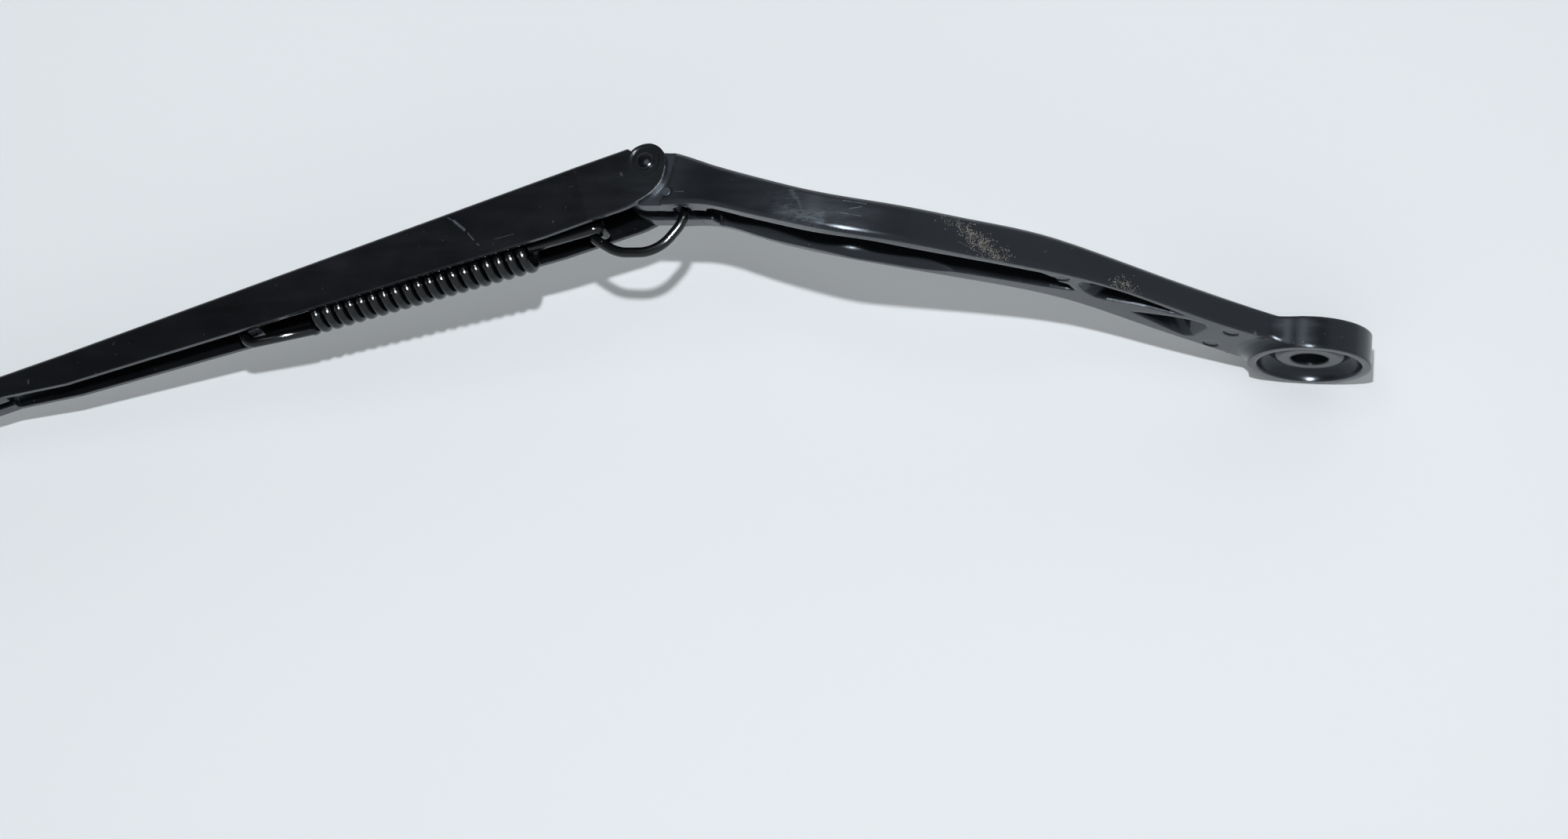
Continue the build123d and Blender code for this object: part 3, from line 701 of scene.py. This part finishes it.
class WIPER_OT_set_rivet(Operator):
    """Sets the pivot rivet with a domed head on each ear"""
    bl_idname = "wiper.set_rivet"
    bl_label = "Set the rivet"

    def execute(self, context):
        paint = context.scene.wiper_paint
        mesh = lathe("rivet", rivet_profile(), HINGE, Y_AXIS, RIVET_SEGMENTS)
        mesh.materials.append(paint_material("rivet_paint", paint.sheet, paint.gloss - 0.08, paint, wear=0.0))
        for polygon in mesh.polygons:
            polygon.use_smooth = True
        rivet = bpy.data.objects.new("rivet", mesh)
        context.scene.collection.objects.link(rivet)
        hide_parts("pivot_rivet")
        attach(rivet, "arm")
        return {"FINISHED"}


class WIPER_OT_wind_spring(Operator):
    """Winds the tension spring from round wire, hooked to the link and to the rod's lug"""
    bl_idname = "wiper.wind_spring"
    bl_label = "Wind the spring"

    def execute(self, context):
        spring = context.scene.wiper_spring
        points, start, end = spring_path(spring)
        coat = wire_coat("spring_steel", context.scene.wiper_paint)
        wire = draw_wire(context, "spring_wire", points, spring.wire_diameter, spring.sides, coat)
        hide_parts("tension_spring")
        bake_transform(wire)
        return {"FINISHED"}


def table_material(colour):
    """Matt table top, clear from behind so that it never hides the arm."""
    material = bpy.data.materials.new("table_top")
    material.use_nodes = True
    n = Nodes(material.node_tree)
    nodes = material.node_tree.nodes
    nodes.remove(nodes["Principled BSDF"])
    where = n.add("ShaderNodeTexCoord").outputs["Object"]
    patchy = n.ramp(n.noise(where, 3.0, 2.0), 0.35, 0.65)
    top = n.add("ShaderNodeBsdfDiffuse", {"Color": n.mix(patchy, tint(colour, 0.985), tint(colour, 1.0))})
    clear = n.add("ShaderNodeBsdfTransparent")
    behind = n.add("ShaderNodeNewGeometry").outputs["Backfacing"]
    both = n.add("ShaderNodeMixShader", {0: behind, 1: top.outputs[0], 2: clear.outputs[0]})
    n.feed(nodes["Material Output"], "Surface", both.outputs[0])
    return material


def room_world(stage):
    """Room that is dim over the arm and brighter to the sides, with a skylight and a soft patch of light."""
    world = bpy.data.worlds.new("room")
    world.use_nodes = True
    n = Nodes(world.node_tree)
    way = n.add("ShaderNodeTexCoord").outputs["Generated"]
    over = n.dot(way, tuple(ROOM_DIM_WAY))
    pane = n.dot(way, tuple(WINDOW_WAY))
    height = n.dot(way, tuple(Z_AXIS))
    walls = n.ramp(over, 0.85, 0.45, stage.room_dim, stage.room_bright, "SMOOTHSTEP")
    shaded = n.math("MULTIPLY", walls, n.ramp(height, -0.9, -0.2, 1.2, 1.0))
    ceiling = n.ramp(height, 0.35, 0.85, 0.0, stage.skylight, "SMOOTHSTEP")
    glow = n.ramp(pane, 0.9750, 0.9985, 0.0, stage.window, "SMOOTHSTEP")
    sky = world.node_tree.nodes["Background"]
    sky.inputs["Color"].default_value = ROOM_TINT
    n.feed(sky, "Strength", n.math("ADD", n.math("ADD", shaded, ceiling), glow))
    return world


def hang_lamp(context, name, size, power, in_diffuse):
    """Round lamp over the camera, aimed at the arm and out of the picture."""
    lamp = bpy.data.lights.new(name, "AREA")
    lamp.shape = "DISK"
    lamp.size = size
    lamp.energy = power
    turn = (LAMP_PLACE - LAMP_AIM).to_track_quat("Z", "Y").to_matrix().to_4x4()
    lamp_object = bpy.data.objects.new(name, lamp)
    lamp_object.matrix_world = Matrix.Translation(LAMP_PLACE) @ turn
    lamp_object.visible_camera = False
    lamp_object.visible_diffuse = in_diffuse
    context.scene.collection.objects.link(lamp_object)


def set_camera(context):
    """Camera at the photograph's angle."""
    camera = bpy.data.cameras.new("camera")
    camera.sensor_width = CAMERA_SENSOR
    camera.lens = CAMERA_LENS
    camera.clip_start = CAMERA_NEAR
    turn = Matrix((CAMERA_RIGHT, CAMERA_UP, CAMERA_BACK)).transposed().to_4x4()
    camera_object = bpy.data.objects.new("camera", camera)
    camera_object.matrix_world = Matrix.Translation(CAMERA_PLACE) @ turn
    context.scene.collection.objects.link(camera_object)
    context.scene.camera = camera_object


class WIPER_OT_lay_table(Operator):
    """Puts a pale table under the arm, and the lamps and the camera over it"""
    bl_idname = "wiper.lay_table"
    bl_label = "Table, light and camera"

    def execute(self, context):
        stage = context.scene.wiper_stage
        sides = ((-1, -1), (1, -1), (1, 1), (-1, 1))
        corners = [TABLE_FOOT + TABLE_HALF * (u * TABLE_RUN + v * Z_AXIS) for u, v in sides]
        mesh = bpy.data.meshes.new("table")
        mesh.from_pydata(corners, [], [(0, 3, 2, 1)])
        mesh.update()
        mesh.materials.append(table_material(stage.table))
        table = bpy.data.objects.new("table", mesh)
        context.scene.collection.objects.link(table)
        context.scene.world = room_world(stage)
        hang_lamp(context, "key", KEY_SIZE, stage.key, True)
        hang_lamp(context, "glint", GLINT_SIZE, stage.glint, False)
        set_camera(context)
        context.scene.view_settings.view_transform = "Standard"
        return {"FINISHED"}


class WIPER_PT_sidebar(Panel):
    """Lists the steps of the wiper arm and their settings"""
    bl_idname = "WIPER_PT_sidebar"
    bl_label = "Wiper Arm"
    bl_space_type = "VIEW_3D"
    bl_region_type = "UI"
    bl_category = "Wiper Arm"

    def draw(self, context):
        layout = self.layout
        for name, kind in GROUPS:
            box = layout.box()
            for key in kind.__annotations__:
                box.prop(getattr(context.scene, name), key)
        for step in STEPS:
            layout.operator(step.bl_idname)


STEPS = (
    WIPER_OT_lay_table,
    WIPER_OT_paint_head,
    WIPER_OT_paint_channel,
    WIPER_OT_paint_rod,
    WIPER_OT_coat_pin,
    WIPER_OT_set_rivet,
    WIPER_OT_bend_link,
    WIPER_OT_wind_spring,
)
GROUPS = (
    ("wiper_paint", PaintSettings),
    ("wiper_spring", SpringSettings),
    ("wiper_stage", StageSettings),
)


def register():
    for name, group in GROUPS:
        bpy.utils.register_class(group)
        setattr(bpy.types.Scene, name, PointerProperty(type=group))
    for step in STEPS:
        bpy.utils.register_class(step)
    bpy.utils.register_class(WIPER_PT_sidebar)


def unregister():
    bpy.utils.unregister_class(WIPER_PT_sidebar)
    for step in reversed(STEPS):
        bpy.utils.unregister_class(step)
    for name, group in reversed(GROUPS):
        delattr(bpy.types.Scene, name)
        bpy.utils.unregister_class(group)


def main():
    register()
    bpy.ops.wiper.lay_table()
    bpy.ops.wiper.paint_head()
    bpy.ops.wiper.paint_channel()
    bpy.ops.wiper.paint_rod()
    bpy.ops.wiper.coat_pin()
    bpy.ops.wiper.set_rivet()
    bpy.ops.wiper.bend_link()
    bpy.ops.wiper.wind_spring()
    bpy.context.view_layer.update()


if __name__ == "__main__":
    main()
